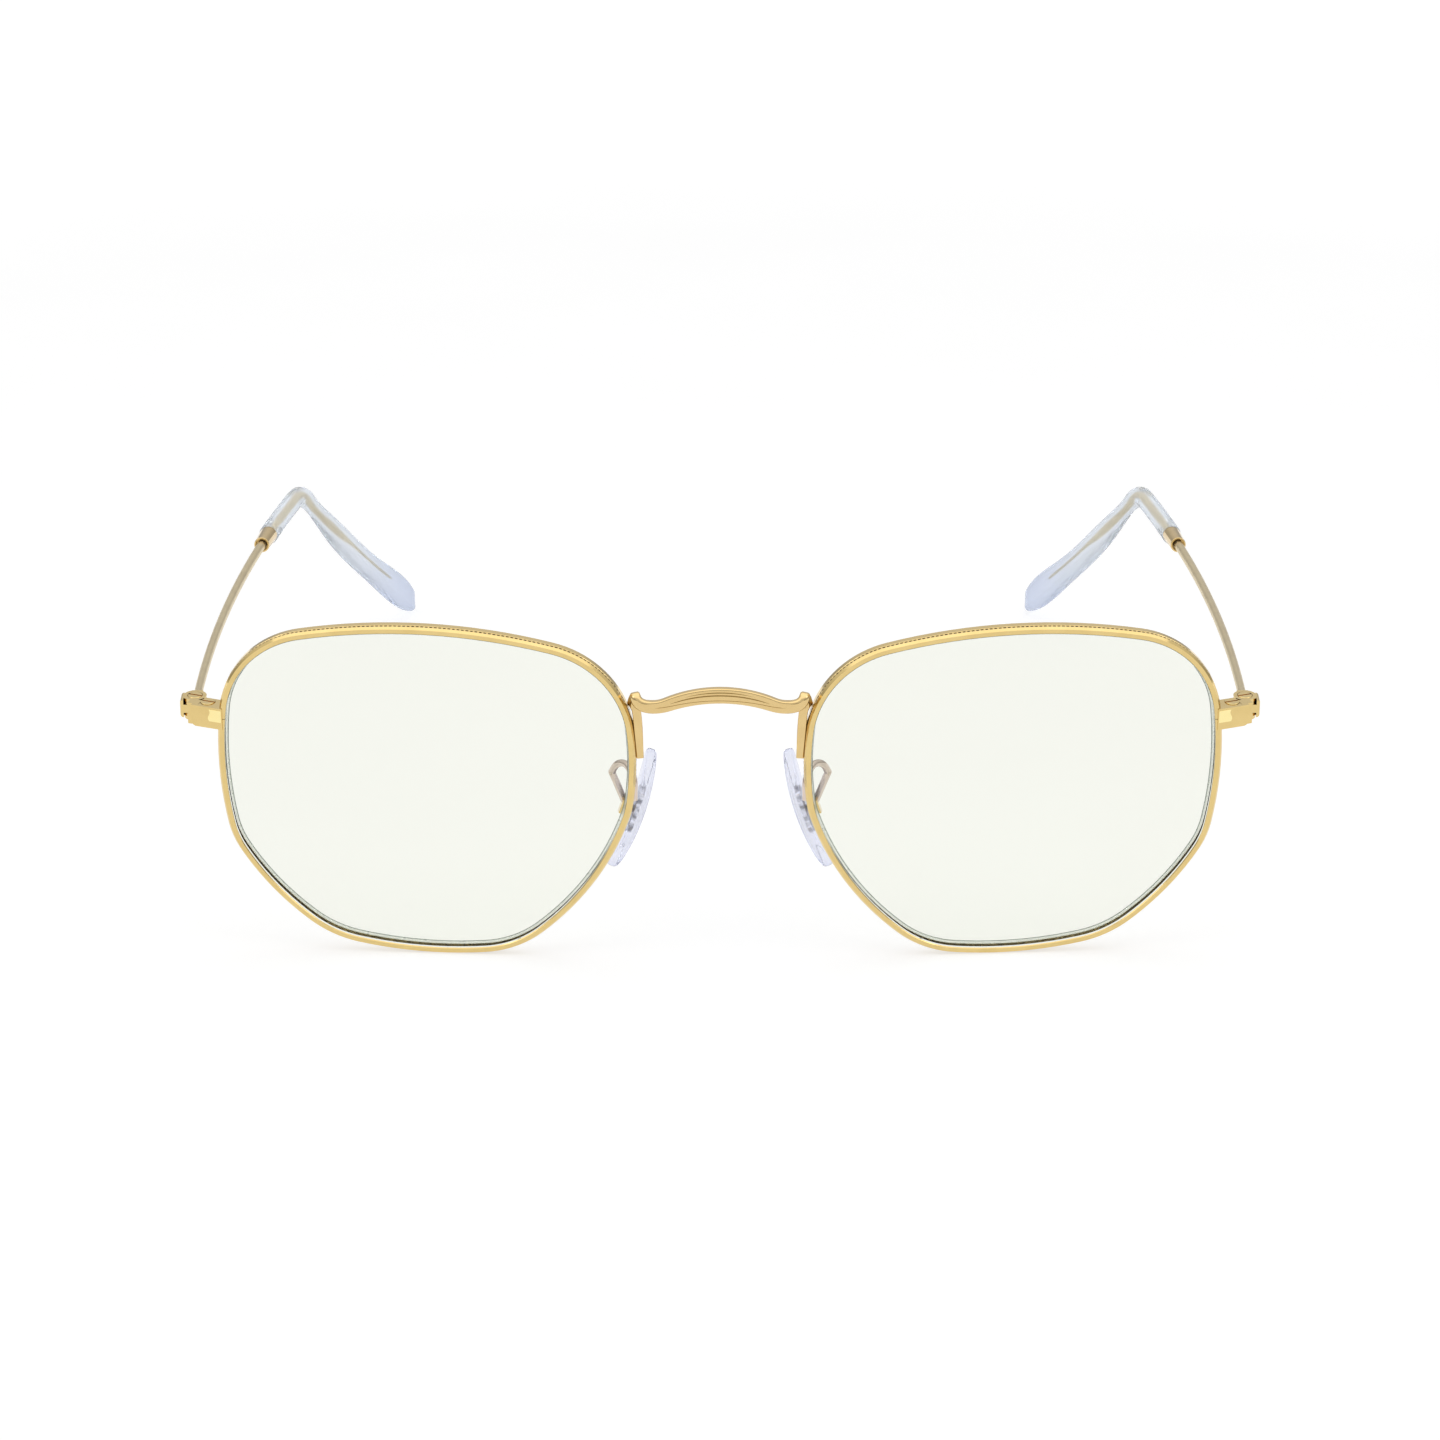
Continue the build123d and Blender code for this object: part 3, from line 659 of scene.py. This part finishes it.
def facet(side):
    """Corners and faces of the thin plate that is a facet."""
    face = Face(side, ENDPIECE_TURN)
    plate = face.local(points_of(f"endpiece_plate_{side}"))
    inner = plate[:, 0].min()
    middle = (plate[:, 1].min() + plate[:, 1].max()) / 2
    front = plate[:, 2].max()
    outline = [(FACET_INNER, FACET_TOP)]
    for share in np.linspace(0, 1, FACET_STEPS):
        out = FACET_OUTER - FACET_WAVE * sin(2 * pi * share)
        outline.append((out, FACET_TOP + (FACET_BOTTOM - FACET_TOP) * share))
    outline.append((FACET_INNER, FACET_BOTTOM))
    heights = (front - FACET_SINK, front + FACET_RISE)
    corners = [face.place(inner + x, middle + y, height) for height in heights for x, y in outline]
    count = len(outline)
    faces = [tuple(range(count)), tuple(range(count, 2 * count))]
    faces += [(k, (k + 1) % count, count + (k + 1) % count, count + k) for k in range(count)]
    return corners, faces


for side in SIDES:
    new_piece(f"endpiece_facet_{side}", shape_of(facet(side)), "front", pale_gold)


# Camera: it looks down at the front, with its lens and sensor in millimetres

CAMERA_PLACE = (0.0, -0.67725, 0.2476)
CAMERA_DOWN = radians(19.5)
CAMERA_LENS = 132.2
CAMERA_SENSOR = 36.0

camera_data = bpy.data.cameras.new("camera")
camera_data.sensor_width = CAMERA_SENSOR
camera_data.lens = CAMERA_LENS
camera = bpy.data.objects.new("camera", camera_data)
camera.location = CAMERA_PLACE
camera.rotation_euler = (pi / 2 - CAMERA_DOWN, 0.0, 0.0)
scene.collection.objects.link(camera)
scene.camera = camera


# Floor: pale, glowing white to the camera and in reflections, and keeping the object's shadow

FLOOR_HALF_WIDTH = 3
FLOOR_NEAR = -2
FLOOR_FAR = 4
FLOOR_GREYS = ((0.47, 0.47, 0.47), (0.49, 0.49, 0.49))
FLOOR_MOTTLE = 30.0

# The floor's glow near the object and far from it, where the lamps no longer reach, and the distances
# between which it rises
GLOW_NEAR = 0.64
GLOW_FAR = 1.0
GLOW_FROM = 0.3
GLOW_TO = 1.2

WHITE = (1, 1, 1)

floor_mesh = bpy.data.meshes.new("floor")
floor_corners = [
    (-FLOOR_HALF_WIDTH, FLOOR_NEAR, 0),
    (FLOOR_HALF_WIDTH, FLOOR_NEAR, 0),
    (FLOOR_HALF_WIDTH, FLOOR_FAR, 0),
    (-FLOOR_HALF_WIDTH, FLOOR_FAR, 0),
]
floor_mesh.from_pydata(floor_corners, [], [(0, 1, 2, 3)])
floor = bpy.data.objects.new("floor", floor_mesh)
scene.collection.objects.link(floor)
floor_tree = Tree(bpy.data.materials.new("floor"))
floor_tree.nodes.remove(floor_tree.nodes["Principled BSDF"])
reach = floor_tree.add("ShaderNodeVectorMath", {0: floor_tree.place}, operation="LENGTH").outputs["Value"]
level = floor_tree.spread(reach, GLOW_NEAR, GLOW_FAR, GLOW_FROM, GLOW_TO)
glow = floor_tree.math("MULTIPLY", floor_tree.rays("Camera", "Glossy", "Transmission"), level)
light = floor_tree.add("ShaderNodeEmission", {"Color": WHITE, "Strength": glow})
grey = floor_tree.blend(floor_tree.noise(FLOOR_MOTTLE), *FLOOR_GREYS)
matte = floor_tree.add("ShaderNodeBsdfDiffuse", {"Color": grey})
floor_tree.show(floor_tree.add("ShaderNodeAddShader", {0: matte.outputs[0], 1: light.outputs[0]}))
floor_mesh.materials.append(floor_tree.owner)


# World: a plain soft light, white where it is seen directly or through glass, and a studio in metal

WORLD_LIGHT = 0.5

# The studio is dim at the level of its walls and paler overhead. Each stop is a share of the way from
# straight down to straight up, and a grey level
STUDIO_LOWEST = (0.44, 1.0)
STUDIO_HIGHEST = (0.97, 0.95)
STUDIO_BETWEEN = ((0.50, 0.42), (0.60, 0.45), (0.72, 0.74), (0.85, 0.80))


def set_stop(stop, position, level):
    """Sets a colour ramp's stop to a grey."""
    stop.position = position
    stop.color = (level, level, level, 1)


world = bpy.data.worlds.new("world")
scene.world = world
world_tree = Tree(world)
direction = world_tree.add("ShaderNodeSeparateXYZ", {"Vector": world_tree.coordinates["Generated"]})
upward = world_tree.spread(direction.outputs["Z"], 0.0, 1.0, -1.0, 1.0)
studio = world_tree.add("ShaderNodeValToRGB", {"Fac": upward})
ramp = studio.color_ramp.elements
set_stop(ramp[0], *STUDIO_LOWEST)
set_stop(ramp[1], *STUDIO_HIGHEST)
for position, level in STUDIO_BETWEEN:
    set_stop(ramp.new(position), position, level)
strength = world_tree.mix(world_tree.rays("Glossy"), WORLD_LIGHT, studio.outputs["Color"])
strength = world_tree.mix(world_tree.rays("Camera", "Transmission"), strength, 1.0)
background = world_tree.nodes["Background"]
world_tree.feed(background.inputs["Color"], WHITE)
world_tree.feed(background.inputs["Strength"], strength)


# Lamps


def soft_light(name, place, aim, width, height, power):
    """A soft box that faces a point."""
    data = bpy.data.lights.new(name, "AREA")
    data.shape = "RECTANGLE"
    data.size = width
    data.size_y = height
    data.energy = power
    lamp = bpy.data.objects.new(name, data)
    lamp.location = place
    lamp.rotation_euler = (Vector(aim) - Vector(place)).to_track_quat("-Z", "Y").to_euler()
    scene.collection.objects.link(lamp)


soft_light("top_light", place=(0.0, -0.15, 0.9), aim=(0.0, 0.0, 0.0), width=1.75, height=1.2, power=3.5)
soft_light("left_light", place=(-0.8, -0.5, 0.6), aim=(0.0, 0.0, 0.02), width=0.5, height=0.5, power=0.8)
soft_light("right_light", place=(0.8, -0.5, 0.6), aim=(0.0, 0.0, 0.02), width=0.5, height=0.5, power=0.8)

bpy.context.view_layer.update()
